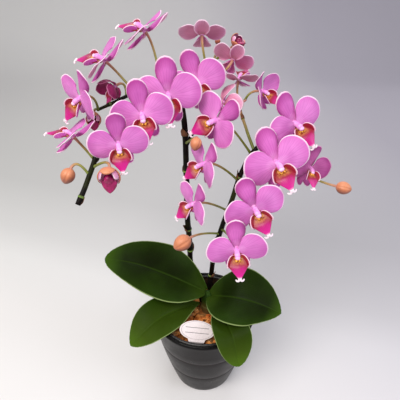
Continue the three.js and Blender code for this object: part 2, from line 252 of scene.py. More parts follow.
# The paper's greys are painted light and shade: lighter at the front and up the wall, darker in a
# band between, and greyer and bluer towards the right, in place of the fall-off of the lamps'
# light.
reach = (paper_y + paper_x * 0.36) * 0.5
falloff_greys = [(0.0, "#E9E8E8"), (0.06, "#E3E3E3"), (0.1, "#D5D5D5"), (0.2, "#C8C8C8")]
falloff_greys += [(0.28, "#CACACA"), (0.52, "#D5D4D5"), (0.85, "#EAE9EA")]
painted_falloff = ramp(reach, falloff_greys)
to_right = remap(paper_x, -0.6, 0.6)
painted_side_shade = ramp(to_right, [(0.0, "#FFFFFC"), (0.5, "#F9F8F9"), (1.0, "#DAD7E2")])
feed(mixed(1.0, painted_falloff, painted_side_shade, "MULTIPLY"), "Base Color")
set_up(paper, roughness=0.9, specular_ior_level=0.2)
dress(sweep, paper)


def soft_box(name, place, aim, size, power, colour):
    bpy.ops.object.light_add(type="AREA", location=place)
    lamp = bpy.context.object
    lamp.name = name
    lamp.rotation_euler = (Vector(aim) - Vector(place)).to_track_quat("-Z", "Y").to_euler()
    lamp.data.shape = "RECTANGLE"
    lamp.data.size, lamp.data.size_y = size
    lamp.data.energy = power
    lamp.data.color = linear(colour)[:3]


soft_box("key_box", (-0.55, -0.9, 1.5), (0, 0, 0.3), (1.1, 0.9), 25, "#FFFAF4")
soft_box("side_box", (1.2, -0.5, 0.9), (0, 0, 0.3), (0.7, 0.9), 7, "#F4F6FF")
soft_box("back_box", (0.2, 1.1, 1.5), (0, 0, 0.35), (1.0, 0.5), 7, "#FFFFFF")
room = bpy.data.worlds.new("room_light")
room.use_nodes = True
room.node_tree.nodes["Background"].inputs["Color"].default_value = linear("#F2F2F6")
room.node_tree.nodes["Background"].inputs["Strength"].default_value = 0.45
bpy.context.scene.world = room
bpy.context.scene.view_settings.view_transform = "Standard"

bpy.ops.object.camera_add(location=(-0.005, -0.375, 0.497), rotation=(radians(59.4), 0, 0))
camera = bpy.context.object
camera.data.sensor_width = 36
camera.data.lens = 36.2
bpy.context.scene.camera = camera

# ---- Cover pot ----
# The outer pot is slip-cast stoneware with a dark grey satin glaze. It flares in a nearly straight
# line from its foot to a rounded rim, and two shallow grooves run round it. Its sizes are in mm.

RIM_RADIUS, _, POT_HEIGHT = (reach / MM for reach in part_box("cover_pot")[1])
FOOT_RADIUS = 39
BELLY = 2.5
POT_WALL = 4
POT_FLOOR = 6
POT_SIDES = 128
GROOVES = [40, 78]


def pot_radius(height):
    share = height / POT_HEIGHT
    return FOOT_RADIUS + (RIM_RADIUS - FOOT_RADIUS) * share + BELLY * sin(pi * share)


def turn_up(name, outline, sides):
    """A turned piece from an outline of (radius, height) in mm: a disc, and a ring per step."""
    (radius, height), *rest = [(radius * MM, height * MM) for radius, height in outline]
    bpy.ops.mesh.primitive_circle_add(
        vertices=sides, radius=radius, location=(0, 0, height), fill_type="NGON"
    )
    piece = bpy.context.object
    piece.name = name
    place_in_mesh(piece)
    bpy.ops.object.mode_set(mode="EDIT")
    bpy.ops.mesh.select_all(action="SELECT")
    for next_radius, next_height in rest:
        extrude(0, 0, next_height - height)
        share = next_radius / radius
        bpy.ops.transform.resize(value=(share, share, 1), center_override=(0, 0, next_height))
        radius, height = next_radius, next_height
    end_edit()
    bpy.ops.object.shade_smooth_by_angle(angle=radians(50))
    return piece


# outlines of the foot, a groove and the rim, as steps (inwards, up or down) from the pot's side
FOOT_SHAPE = [(5, 1.2), (4, 0), (2.2, 0), (0.6, 0.5)]
RIM_SHAPE = [(0.4, 4.5), (0, 2.4), (0.5, 0.8), (1.7, 0), (2.9, 0.3)]
GROOVE_SHAPE = [(-2.8, 0), (-1.9, 0.15), (-1.0, 0.5), (0, 0.7), (1.0, 0.5), (1.9, 0.15), (2.8, 0)]
outline = [(FOOT_RADIUS - deep, up) for deep, up in FOOT_SHAPE]
outline += [(pot_radius(2), 2), (pot_radius(8), 8)]
for height in GROOVES:
    outline += [(pot_radius(height - 12), height - 12)]
    outline += [(pot_radius(height + up) - deep, height + up) for up, deep in GROOVE_SHAPE]
    outline += [(pot_radius(height + 12), height + 12)]
outline += [(pot_radius(POT_HEIGHT - 7), POT_HEIGHT - 7)]
outline += [(RIM_RADIUS - deep, POT_HEIGHT - down) for deep, down in RIM_SHAPE]
for height in (POT_HEIGHT - 1.6, POT_HEIGHT - 8, *GROOVES[::-1], POT_FLOOR + 4):
    outline += [(pot_radius(height) - POT_WALL, height)]
outline += [(pot_radius(POT_FLOOR) - POT_WALL - 4, POT_FLOOR)]
cover_pot = turn_up("stoneware_cover_pot", outline, POT_SIDES)

glaze, where = new_finish("dark_satin_glaze")
height = split(where)[2]
mottle = noise(where, 90, 5, 0.6)
cloud = noise(where, 22, 3, 0.5)
body_colour = ramp(mottle, [(0.3, "#0B0A0A"), (0.55, "#100E0E"), (0.75, "#161414")])
worn = ramp(source(glaze, "NewGeometry", "Pointiness"), [(0.505, 0.0), (0.56, 0.5)])
pale = ramp(cloud, [(0.35, 0.0), (0.7, 0.35)])
body_colour = layered(body_colour, (pale, "#1E1B1B"), (worn, "#4A4646"))
# each groove is painted paler in a narrow band along it
for groove in GROOVES:
    apart = abs(height - groove * MM)
    groove_pale = ramp(apart * 100.0, [(0.1, 0.3), (0.26, 0.0)])
    body_colour = mixed(groove_pale, body_colour, "#5A5656")
# The rim and the top of its inside are painted near black: painted shade of the dark gap between
# the cover pot and the grower pot.
rim_painted_shade = remap(height, (POT_HEIGHT - 4.5) * MM, (POT_HEIGHT - 3.4) * MM)
body_colour = mixed(rim_painted_shade, body_colour, "#060505")
feed(body_colour, "Base Color")
feed(remap(mottle, 0.25, 0.8, 0.24, 0.42), "Roughness")
throwing = calculated("SINE", height * 2600.0)
relief(throwing * 0.12 + noise(where, 700, 3), 0.25, 0.0003)
set_up(glaze, specular_ior_level=0.13, coat_weight=0.03, coat_roughness=0.15)
dress(cover_pot, glaze)
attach(cover_pot, "root")
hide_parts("cover_pot")

# ---- Grower pot ----
# The plant grows in a thin blow-moulded black pot that stands inside the cover pot. Its lip is
# rolled outwards, and only that lip and a little of its inner wall show above the bark.

foot, GROWER_TOP = (corner[2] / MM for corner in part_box("grower_pot"))
GROWER_WALL = 1.6
GROWER_PLAY = 1.9
# steps (outwards, down) of the rolled lip from the top of the pot's side
LIP_SHAPE = [(1.2, 0.8), (0.5, 0), (-1.2, 0), (-2.0, 0.9)]


def grower_radius(height):
    return pot_radius(height) - POT_WALL - GROWER_PLAY


outline = [(grower_radius(foot) - 3, foot), (grower_radius(foot) - 0.8, foot + 0.8)]
outline += [(grower_radius(height), height) for height in (foot + 4, *GROOVES, GROWER_TOP - 5)]
outline += [(grower_radius(GROWER_TOP - 4) + 1.0, GROWER_TOP - 3.6)]
outline += [(grower_radius(GROWER_TOP) + out, GROWER_TOP - down) for out, down in LIP_SHAPE]
for height in (GROWER_TOP - 4, *GROOVES[::-1], foot + 5):
    outline += [(grower_radius(height) - GROWER_WALL, height)]
outline += [(grower_radius(foot) - 6, foot + GROWER_WALL)]
grower_pot = turn_up("black_grower_pot", outline, 96)
black, where = new_finish("black_moulded_plastic")
dust = noise(where, 160, 4, 0.6)
feed(ramp(dust, [(0.4, "#0C0B0D"), (0.75, "#1E1B1B")]), "Base Color")
feed(remap(dust, 0.0, 1.0, 0.25, 0.5), "Roughness")
relief(noise(where, 900, 2), 0.2, 0.0002)
dress(grower_pot, black)
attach(grower_pot, "root")
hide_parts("grower_pot")

# ---- Bark mix ----
# Orchids are potted in pine bark broken into chips of about a centimetre. They lie in a loose
# jumble below the lip of the pot, with dark gaps between them over a bed of finer bark.

BARK_TOP = 102 * MM
BED_TOP = 98
CHIP_LENGTH = 9.5 * MM
CROWN_AT = Vector((5 * MM, 12 * MM, BARK_TOP))


def rounded(piece, width, segments):
    select_only(piece)
    bevel = piece.modifiers.new("edges", "BEVEL")
    bevel.width, bevel.segments = width, segments
    bevel.limit_method = "ANGLE"
    bpy.ops.object.modifier_apply(modifier="edges")


def joined(name, pieces):
    select_only(*pieces)
    bpy.ops.object.join()
    whole = bpy.context.object
    whole.name = name
    return whole


def copy_of(model, turn):
    """A copy of a model with its own mesh, moved by the matrix turn."""
    made = model.copy()
    made.data = model.data.copy()
    bpy.context.scene.collection.objects.link(made)
    made.data.transform(turn)
    return made


chance = random.Random(11)
bed_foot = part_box("bark_mix")[0][2] / MM
inside = [(grower_radius(bed_foot) - 7, bed_foot)]
inside += [(grower_radius(height) - 2.4, height) for height in (bed_foot + 5, *GROOVES, BED_TOP)]
bark_bed = turn_up("bark_bed", inside, 64)
chip_models = []
for model_number in range(5):
    bpy.ops.mesh.primitive_cube_add(size=1)
    chip = bpy.context.object
    wide, thick = chance.uniform(0.5, 0.8), chance.uniform(0.25, 0.42)
    chip.scale = (CHIP_LENGTH, CHIP_LENGTH * wide, CHIP_LENGTH * thick)
    place_in_mesh(chip)
    bpy.ops.object.mode_set(mode="EDIT")
    bpy.ops.mesh.select_all(action="SELECT")
    bpy.ops.mesh.subdivide(number_cuts=2)
    bpy.ops.transform.vertex_random(offset=1.3 * MM, uniform=0.5, seed=model_number + 1)
    bpy.ops.object.mode_set(mode="OBJECT")
    rounded(chip, 0.7 * MM, 1)
    chip_models.append(chip)
chips = []
CROWN_CLEARANCE = 12 * MM
# chips lie lower under the label, whose middle, half width, and front and back these are
LABEL_X, LABEL_HALF_X, LABEL_Y = -9 * MM, 24 * MM, (-58 * MM, -22 * MM)
# rings of chips, by share of the reach, and how many chips lie in each
RINGS = [(0.12, 5), (0.26, 10), (0.38, 15), (0.5, 20), (0.62, 24), (0.74, 28)]
RINGS += [(0.86, 32), (1.0, 38), (0.44, 12), (0.68, 18), (0.93, 24)]
reach = (grower_radius(BARK_TOP / MM) - 3.4) * MM - CHIP_LENGTH * 0.72
for ring, count in RINGS:
    for i in range(count):
        angle = 2 * pi * (i + chance.uniform(-0.25, 0.25)) / count + ring * 7
        spot = Vector((cos(angle), sin(angle), 0)) * reach * ring
        spot.z = BARK_TOP - 1.5 * MM + chance.uniform(-2.5, 2.5) * MM
        if (spot - CROWN_AT).to_2d().length < CROWN_CLEARANCE:
            continue
        if abs(spot.x - LABEL_X) < LABEL_HALF_X and LABEL_Y[0] < spot.y < LABEL_Y[1]:
            spot.z -= 4 * MM
        tilt = Matrix.Rotation(chance.uniform(0, 6.3), 4, "Z")
        tilt = tilt @ Matrix.Rotation(chance.uniform(-0.6, 0.6), 4, "X")
        tilt = tilt @ Matrix.Rotation(chance.uniform(-0.45, 0.45), 4, "Y")
        size = Matrix.Scale(chance.uniform(0.75, 1.15), 4)
        chips.append(copy_of(chance.choice(chip_models), Matrix.Translation(spot) @ tilt @ size))
bark = joined("bark_chips", [bark_bed, *chips])
for chip in chip_models:
    bpy.data.objects.remove(chip)

bark_finish, where = new_finish("broken_pine_bark")
lumps = noise(where, 70, 3, 0.55)
fibres = noise(mapped(where, Scale=(1, 3.5, 2)), 260, 6, 0.65)
oranges = [(0.33, "#B85C26"), (0.45, "#EC9044"), (0.58, "#F8B068"), (0.72, "#FCD8AC")]
grooves = ramp(fibres, [(0.35, 0.6), (0.55, 0.0)])
# Chip surfaces lower down are painted darker: painted shade in the gaps between the chips.
painted_gap_shade = remap(split(where)[2], BARK_TOP - 6 * MM, BARK_TOP - 0.5 * MM, 0.85, 0.0)
feed(layered(ramp(lumps, oranges), (grooves, "#5A260C"), (painted_gap_shade, "#2A0F04")), "Base Color")
set_up(bark_finish, roughness=0.85, specular_ior_level=0.25)
relief(fibres, 0.7, 0.0009)
bark.data.materials.clear()
dress(bark, bark_finish)
select_only(bark)
bpy.ops.object.shade_smooth_by_angle(angle=radians(35))
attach(bark, "root")
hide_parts("bark_mix")

# ---- Label ----
# A die-cut oval card is pushed into the bark at the front of the pot by its tapered neck, which
# bends down between the chips. Its face is blank apart from a pressed border and ruled lines.

LABEL_HALF = (21.3 * MM, 11.4 * MM)
LABEL_THICKNESS = 1.0 * MM
NECK_HALF = 11.5 * MM
NECK_LENGTH = 13.4 * MM
NECK_BEND = (-4 * MM, -7 * MM)
# how far the label stands from the middle, front and top of its CAD box
LABEL_OFFSET = (0.6 * MM, 3 * MM, 3.6 * MM)
LABEL_LEAN = spin(8, "Y") @ spin(38, "X")
label_low, label_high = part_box("plant_label")
bpy.ops.mesh.primitive_circle_add(vertices=96, radius=1, fill_type="NGON")
label = bpy.context.object
label.name = "oval_plant_label"
label.scale = (*LABEL_HALF, 1)
place_in_mesh(label)
edit_edges(label, lambda end: abs(end.x) < NECK_HALF and end.y < 0)
extrude(0, -3 * MM, 0)
bpy.ops.transform.resize(value=(0.86, 0, 1), center_override=(0, -NECK_LENGTH, 0))
extrude(0, *NECK_BEND)
bpy.ops.transform.resize(value=(0.92, 1, 1))
bpy.ops.mesh.select_all(action="SELECT")
extrude(0, 0, LABEL_THICKNESS)
end_edit()
rounded(label, 0.25 * MM, 2)
label.data.transform(LABEL_LEAN)
label_top = max(v.co.z for v in label.data.vertices)
label_front = min(v.co.y for v in label.data.vertices)
shift = Vector(
    ((label_low[0] + label_high[0]) / 2, label_low[1] - label_front, label_high[2] - label_top)
)
shift += Vector(LABEL_OFFSET)
label.data.transform(Matrix.Translation(shift))
card, where = new_finish("matt_white_card")
turn = LABEL_LEAN.inverted() @ Matrix.Translation(-shift)
flat = mapped(where, Location=turn.translation, Rotation=turn.to_euler())
flat_x, flat_y, _ = split(flat)
across = flat_x / LABEL_HALF[0]
upward = flat_y / LABEL_HALF[1]
round_share = calculated("SQRT", across ** 2.0 + upward ** 2.0)
border = abs(round_share - 0.9) < 0.014
line_place = abs(calculated("FRACT", upward * 1.9) - 0.5)
ruled = (line_place < 0.055) * (round_share < 0.72)
print_mask = calculated("MAXIMUM", ruled * 0.85, border * 0.6)
fibre = noise(where, 800, 4, 0.6)
card_colour = ramp(fibre, [(0.35, "#E2D6D8"), (0.65, "#EFE6E7")])
feed(mixed(print_mask, card_colour, "#4A444C"), "Base Color")
set_up(card, roughness=0.55)
relief(fibre, 0.15, 0.0002)
dress(label, card)
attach(label, "root")
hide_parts("plant_label")

# ---- Stem base ----
# All leaves and spikes grow from one short stem, wrapped in the overlapping sheaths of old leaves.
# It stands in the bark, green above and browner where it goes down between the chips.

STEM_X, STEM_Y = 5 * MM, 12 * MM
outline = [(5, 84), (7, 96), (8.2, 104), (8.6, 109), (7.4, 110)]
outline += [(8.0, 118), (7.8, 123), (6.4, 126), (5, 129), (2.5, 131)]
stem_base = turn_up("sheathed_stem_base", outline, 36)
for vertex in stem_base.data.vertices:
    vertex.co.x += STEM_X + 0.5 * MM * sin(5 * atan2(vertex.co.y, vertex.co.x))
    vertex.co.y = STEM_Y + vertex.co.y * 1.05
sheath, where = new_finish("green_leaf_sheath")
height = split(where)[2]
tone = remap(height, 0.1, 0.12)
streak = noise(mapped(where, Scale=(1, 1, 0.15)), 700, 3)
green = mixed(streak, "#1C2E0A", "#2F4A14")
feed(mixed(tone, "#6B5230", green), "Base Color")
set_up(sheath, roughness=0.5, specular_ior_level=0.06)
relief(streak, 0.3, 0.0003)
dress(stem_base, sheath)
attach(stem_base, "root")
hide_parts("stem_base")

# ---- Leaves ----
# A moth orchid's leaves are thick straps, folded into a channel at the stem and opening into a
# broad blade with a sunken midrib, satin above and paler below. The lower two hang over the rim.

# each leaf's midrib and width in mm, its tilt in degrees, and two powers: the first puts its
# widest place nearer the foot or the tip, and the second makes the tip blunt
LEAF_RIBS = {
    "leaf_left_upper": (
        [(2, 12, 131), (-42, 20, 150), (-86, 25, 166), (-126, 28, 172)],
        74, -24, 0.85, 0.56,
    ),
    "leaf_left_lower": (
        [(-6, 8, 114), (-32, -8, 119.5), (-60, -29, 120), (-88, -49, 101)],
        50, -14, 1.25, 0.68,
    ),
    "leaf_right_upper": (
        [(8.5, 10, 126), (38, -8, 140), (66, -18, 139.5), (92, -30, 135)],
        76, 20, 0.9, 0.72,
    ),
    "leaf_right_lower": (
        [(15, 2, 114), (24, -26, 124), (33, -54, 124), (40, -72, 94)],
        43, 6, 1.45, 0.6,
    ),
}
LEAF_THICKNESS = 2.2 * MM
LINE_STEPS = 240


def smooth_line(points, count):
    """Evenly spaced points of a smooth line through points in mm, in metres, and its directions."""
    through = [Vector(p) for p in points]
    ends = [through[0] * 2 - through[1], *through, through[-1] * 2 - through[-2]]
    fine = []
    for a, b, c, d in zip(ends, ends[1:], ends[2:], ends[3:]):
        spans = [sqrt((q - p).length) for p, q in ((a, b), (b, c), (c, d))]
        leave = (b - a) / spans[0] - (c - a) / (spans[0] + spans[1]) + (c - b) / spans[1]
        arrive = (c - b) / spans[1] - (d - b) / (spans[1] + spans[2]) + (d - c) / spans[2]
        leave, arrive = leave * spans[1], arrive * spans[1]
        for i in range(30):
            t = i / 30
            cubic = (2 * b - 2 * c + leave + arrive) * t**3
            cubic += (3 * c - 3 * b - 2 * leave - arrive) * t**2
            fine.append(cubic + leave * t + b)
    fine.append(through[-1])
    lengths = [0.0]
    for p, q in zip(fine, fine[1:]):
        lengths.append(lengths[-1] + (q - p).length)
    line, at = [], 0
    for i in range(count):
        wanted = lengths[-1] * i / (count - 1)
        while at < len(fine) - 2 and lengths[at + 1] < wanted:
            at += 1
        share = (wanted - lengths[at]) / max(1e-9, lengths[at + 1] - lengths[at])
        line.append(fine[at].lerp(fine[at + 1], share) * MM)
    ways = [(line[min(i + 1, count - 1)] - line[max(i - 1, 0)]).normalized() for i in range(count)]
    return line, ways


def strip(name, across, along):
    """A flat grid from -1 to 1 both ways, with a UV map that runs 0 to 1 across and along it."""
    bpy.ops.mesh.primitive_grid_add(
        x_subdivisions=across, y_subdivisions=along, size=2, calc_uvs=True
    )
    piece = bpy.context.object
    piece.name = name
    piece.data.uv_layers[0].name = "blade"
    return piece


def strip_points(piece):
    """Each vertex of a strip, its place across it, -1 to 1, and its share of the way along it."""
    for vertex in piece.data.vertices:
        yield vertex, vertex.co.x, (vertex.co.y + 1) / 2


def face_out(piece, outwards):
    """Turns a sheet over if its faces look the wrong way on the whole."""
    if sum(outwards(face) * face.area for face in piece.data.polygons) < 0:
        piece.data.flip_normals()


def thicken(piece, thickness, group=None, least=0.4, offset=-1.0):
    """Gives a sheet its thickness. Its new underside takes the material after the upper side's."""
    select_only(piece)
    wall = piece.modifiers.new("wall", "SOLIDIFY")
    wall.thickness, wall.offset = thickness, offset
    wall.material_offset, wall.material_offset_rim = 1, 0
    if group:
        wall.vertex_group, wall.thickness_vertex_group = group, least
    bpy.ops.object.modifier_apply(modifier="wall")
    bpy.ops.object.shade_smooth()


leaf_top, where = new_finish("satin_leaf_upper_side")
across, along, _ = blade_place(leaf_top)
from_rib = abs(across - 0.5) * 2.0
cloud = noise(where, 24, 3, 0.5)
leaf_colour = ramp(cloud, [(0.3, "#101902"), (0.5, "#162403"), (0.72, "#1F3206")])
rib_line = ramp(from_rib, [(0.0, 0.35), (0.02, 0.2), (0.04, 0.0)])
margin = ramp(from_rib, [(0.965, 0.0), (0.99, 0.75)]) * ramp(along, [(0.03, 0.0), (0.15, 1.0)])
veins = calculated("SINE", (across + cloud * 0.02) * 210.0)
# in order: its outer half, low leaves, its tip, its foot, its midrib, its margin, its veins
leaf_colour = layered(
    leaf_colour,
    (from_rib**2.5 * 0.45, "#284208"),
    (remap(split(where)[2], 0.1, 0.136, 0.75, 0.0), "#4A6218"),
    (remap(along, 0.72, 1.0, 0.0, 0.5), "#4E7418"),
    (remap(along, 0.16, 0.0, 0.0, 0.5), "#3C5418"),
    (rib_line, "#3E5A1A"),
    (margin, "#9CB070"),
    (veins * 0.07, "#0A1404"),
)
feed(leaf_colour, "Base Color")
fleck = noise(where, 320, 4, 0.6)
feed(remap(fleck, 0.3, 0.7, 0.33, 0.46), "Roughness")
skin = veins * 0.35 + (fleck + cloud)
relief(skin, 0.35, 0.0005)
set_up(leaf_top, specular_ior_level=0.045)

leaf_under, where = new_finish("matt_leaf_underside")
across, along, _ = blade_place(leaf_under)
cloud = noise(where, 30, 3, 0.5)
under_colour = ramp(cloud, [(0.3, "#3C5F20"), (0.7, "#567C34")])
keel = ramp(abs(across - 0.5), [(0.0, 0.7), (0.03, 0.0)])
feed(mixed(keel, under_colour, "#7C9A4C"), "Base Color")
set_up(leaf_under, roughness=0.6)
relief(noise(where, 260, 3), 0.3, 0.0004)

for leaf_number, (node_name, (rib, width, tilt, fullest, tip)) in enumerate(LEAF_RIBS.items()):
    blade = strip("blade_" + node_name, 28, 72)
    line, ways = smooth_line(rib, LINE_STEPS + 1)
    weights = blade.vertex_groups.new(name="thick")
    for vertex in blade.data.vertices:
        x, share = vertex.co.x, 1 - (0.5 - vertex.co.y / 2) ** 1.35
        spot, way = line[round(share * LINE_STEPS)], ways[round(share * LINE_STEPS)]
        side = way.cross(Vector((0, 0, 1))).normalized()
        side.rotate(Matrix.Rotation(radians(tilt) * (1.4 - 0.5 * share), 3, way))
        face = side.cross(way)
        blunt = 0.95 + (tip - 0.95) * min(1, 2.5 * share)
        body = sin(pi * min(1, 0.02 + 0.98 * share) ** fullest) ** blunt
        half = max(0.3, width / 2 * body) * MM
        half *= 1 - 0.45 * max(0, -x * way.x) * max(0, 1 - 2.2 * share)
        fold = 0.14 * half * x * x * (1 + 2.2 * (1 - share) ** 2 + 4 * (1 - share) ** 8)
        lobes = 0.05 * half * (4 * abs(x) * (1 - abs(x)))
        groove = -1.5 * MM * exp(-((x / 0.055) ** 2)) * min(1, 4 * (1 - share))
        wave = 0.045 * half * x * x * sin(7 * share + 1.7 * leaf_number + (1.2 if x > 0 else 0))
        out = fold + lobes + groove + wave + LEAF_THICKNESS / 2
        vertex.co = spot + side * x * half + face * out
        weights.add([vertex.index], 1 - 0.75 * x**4, "REPLACE")
    dress(blade, leaf_top, leaf_under)
    face_out(blade, lambda face: face.normal.z)
    thicken(blade, LEAF_THICKNESS, "thick", 0.25)
    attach(blade, "root")
    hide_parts(node_name)

# ---- Flower spikes ----
# Each spike is a round, nearly black stem with a joint every few centimetres, wrapped in a thin
# papery scale. Side twigs leave it, and every flower and bud hangs on its own thin stalk, green
# where it leaves the stem and tan pink where it meets the flower.

# each stem's spike, its thickness at the foot and the tip (radii), and its route, in mm
STEMS = {
    "arch": ("left", 3.6, 2.3, [
        (-2, 22, 104), (-8, 32, 127), (-17, 44, 150), (-18, 40, 185), (-20, 25, 240),
        (-20, 21, 300), (-22, 26, 360), (-28, 32, 382), (-43, 36, 392), (-60, 24, 386),
        (-77, 3, 369), (-89, -14, 355), (-99, -30, 346), (-104, -45, 334), (-109, -60, 321),
        (-114, -69, 311),
    ]),
    "side": ("left", 1.9, 1.5, [(-60, 24, 386), (-76, 26, 382), (-92, 20, 376), (-106, 14, 371)]),
    "back": ("left", 2.0, 1.4, [
        (-21, 22, 325), (-13, 34, 338), (2, 48, 350), (-1, 58, 372), (2, 64, 396), (4, 67, 407),
    ]),
    "right": ("right", 3.2, 2.0, [
        (8, 23, 104), (8, 27, 127), (10, 32, 145), (12, 20, 182), (19, 2, 235), (30, 4, 273),
        (38, 6, 303), (52, 16, 326), (74, 24, 338), (94, 28, 326), (108, 22, 306), (112, 14, 297),
    ]),
    "twig": ("right", 1.7, 1.3, [(52, 16, 326), (44, 30, 345), (38, 46, 366), (44, 48, 371)]),
}
NODE_DROP = 20 * MM
STALK_BEND = 14 * MM
STALK_STEPS = 15
JOINT_EVERY = 42 * MM


def tube(name, line, radii, sides=5):
    """A solid round tube of changing radius, which keeps the share along it for its finish."""
    bpy.ops.curve.primitive_bezier_curve_add()
    piece = bpy.context.object
    piece.name = name
    piece.data.splines.clear()
    spline = piece.data.splines.new("POLY")
    spline.points.add(len(line) - 1)
    for point, place, radius in zip(spline.points, line, radii):
        point.co = (*place, 1)
        point.radius = radius / MM
    piece.data.bevel_depth = 1 * MM
    piece.data.bevel_resolution = sides
    piece.data.use_fill_caps = True
    select_only(piece)
    bpy.ops.object.convert(target="MESH")
    piece = bpy.context.object
    mesh = bmesh.new()
    mesh.from_mesh(piece.data)
    bmesh.ops.remove_doubles(mesh, verts=mesh.verts, dist=1e-6)
    bmesh.ops.recalc_face_normals(mesh, faces=mesh.faces)
    mesh.to_mesh(piece.data)
    mesh.free()
    shares = piece.data.attributes.new("along", "FLOAT", "POINT")
    for vertex in piece.data.vertices:
        nearest = min(range(len(line)), key=lambda i: (line[i] - vertex.co).length_squared)
        shares.data[vertex.index].value = nearest / (len(line) - 1)
    bpy.ops.object.shade_smooth()
    return piece


stem_skin, where = new_finish("purple_black_stem")
streak = noise(mapped(where, Scale=(1, 1, 0.2)), 500, 4, 0.6)
patch = noise(where, 45, 2)
stem_colour = ramp(streak, [(0.3, "#060302"), (0.55, "#0D0705"), (0.75, "#1A0F08")])
stem_colour = mixed(ramp(patch, [(0.5, 0.0), (0.75, 0.45)]), stem_colour, "#3F4A1C")
feed(stem_colour, "Base Color")
set_up(stem_skin, roughness=0.45, specular_ior_level=0.1)
relief(streak, 0.3, 0.0003)


def mottled(name, stops, scale, roughness, bump, depth=0.0003, detail=3.0, stretch=1.0):
    """A finish in the colours of one noise, which is drawn out upwards if stretch is below 1."""
    finish, where = new_finish(name)
    tone = noise(mapped(where, Scale=(1, 1, stretch)), scale, detail)
    feed(ramp(tone, stops), "Base Color")
    set_up(finish, roughness=roughness)
    relief(tone, bump, depth)
    return finish


greens = [(0.35, "#3B4A16"), (0.6, "#6B8B2A"), (0.8, "#8FA844")]
joint_skin = mottled("green_joint", greens, 180, 0.5, 0.3)
browns = [(0.35, "#3A2010"), (0.6, "#7A4A28"), (0.8, "#A87A4E")]
scale_skin = mottled("brown_papery_scale", browns, 420, 0.75, 0.5, detail=4.0, stretch=0.3)

stalk_skin, where = new_finish("green_to_tan_stalk")
along = source(stalk_skin, "Attribute", "Fac", attribute_name="along")
tone = noise(where, 300, 3)
stalk_colour = ramp(
    along, [(0.0, "#5E7420"), (0.35, "#8A8A3A"), (0.7, "#B98A5C"), (1.0, "#D08E86")]
)
stalk_colour = mixed(ramp(tone, [(0.4, 0.0), (0.75, 0.35)]), stalk_colour, "#5A4A20")
feed(stalk_colour, "Base Color")
set_up(stalk_skin, roughness=0.5)
relief(tone, 0.2, 0.0002)

stem_lines = {}
stem_pieces = {"left": [], "right": []}
joint_pieces = {"left": [], "right": []}
for stem_name, (spike, thick, thin, route) in STEMS.items():
    count = 12 * len(route)
    line, ways = smooth_line(route, count)
    length = sum((q - p).length for p, q in zip(line, line[1:]))
    stem_lines[stem_name] = smooth_line(route, LINE_STEPS + 1)[0]
    joints = [(k + 0.9) * JOINT_EVERY / length for k in range(int(length / JOINT_EVERY))]
    radii = []
    for i in range(count):
        share = i / (count - 1)
        swelling = sum(exp(-(((share - j) * length / (3.2 * MM)) ** 2)) for j in joints)
        radii.append((thick + (thin - thick) * share**1.5) * MM * (1 + 0.16 * min(1, swelling)))
    stem = tube("stem_" + stem_name, line, radii, 6)
    dress(stem, stalk_skin if stem_name == "twig" else stem_skin)
    stem_pieces[spike].append(stem)
    for number, j in enumerate(joints):
        i = min(count - 2, round(j * (count - 1)))
        around = ways[i].orthogonal().normalized()
        around.rotate(Matrix.Rotation(2.4 * number + len(stem_name), 3, ways[i]))
        basis = Matrix((around.cross(ways[i]), around, ways[i])).transposed().to_4x4()
        ring_line = [line[i] + ways[i] * up * MM for up in (-1.6, -0.8, 0, 0.7)]
        ring = tube("joint_ring", ring_line, [radii[i] * wide for wide in (1.0, 1.1, 1.13, 1.0)], 4)
        dress(ring, joint_skin)
        joint_pieces[spike].append(ring)
        scale_piece = strip("joint_scale", 10, 8)
        for vertex in scale_piece.data.vertices:
            up = vertex.co.y / 2 + 0.5
            sweep_angle = vertex.co.x * 1.5 * (1 - up) ** 0.6
            out = radii[i] * (1.16 + 0.35 * up * up)
            height = (8.5 * up * (1 - 0.25 * vertex.co.x**2) - 1.2) * MM
            height *= (radii[i] / (3 * MM)) ** 0.5
            vertex.co = (out * sin(sweep_angle), out * cos(sweep_angle), height)
        scale_piece.data.transform(Matrix.Translation(line[i]) @ basis)
        dress(scale_piece, scale_skin, scale_skin)
        thicken(scale_piece, 0.35 * MM, offset=0.0)
        joint_pieces[spike].append(scale_piece)
for spike in ("left", "right"):
    stem = joined("spike_stem_" + spike, stem_pieces[spike])
    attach(stem, "root")
    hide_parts("spike_" + spike)
    joints = joined("spike_joints_" + spike, joint_pieces[spike])
    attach(joints, "root")

# ---- Open flowers ----
# A flower has three sepals behind two broad petals, all a soft lilac pink with fine darker veins
# and a pale rim, rosy brown at the back. The lip pushes out below the column: two upright crimson
# side lobes and a pointed magenta middle lobe that ends in two white curls.

FLOWER_RADIUS = 32 * MM
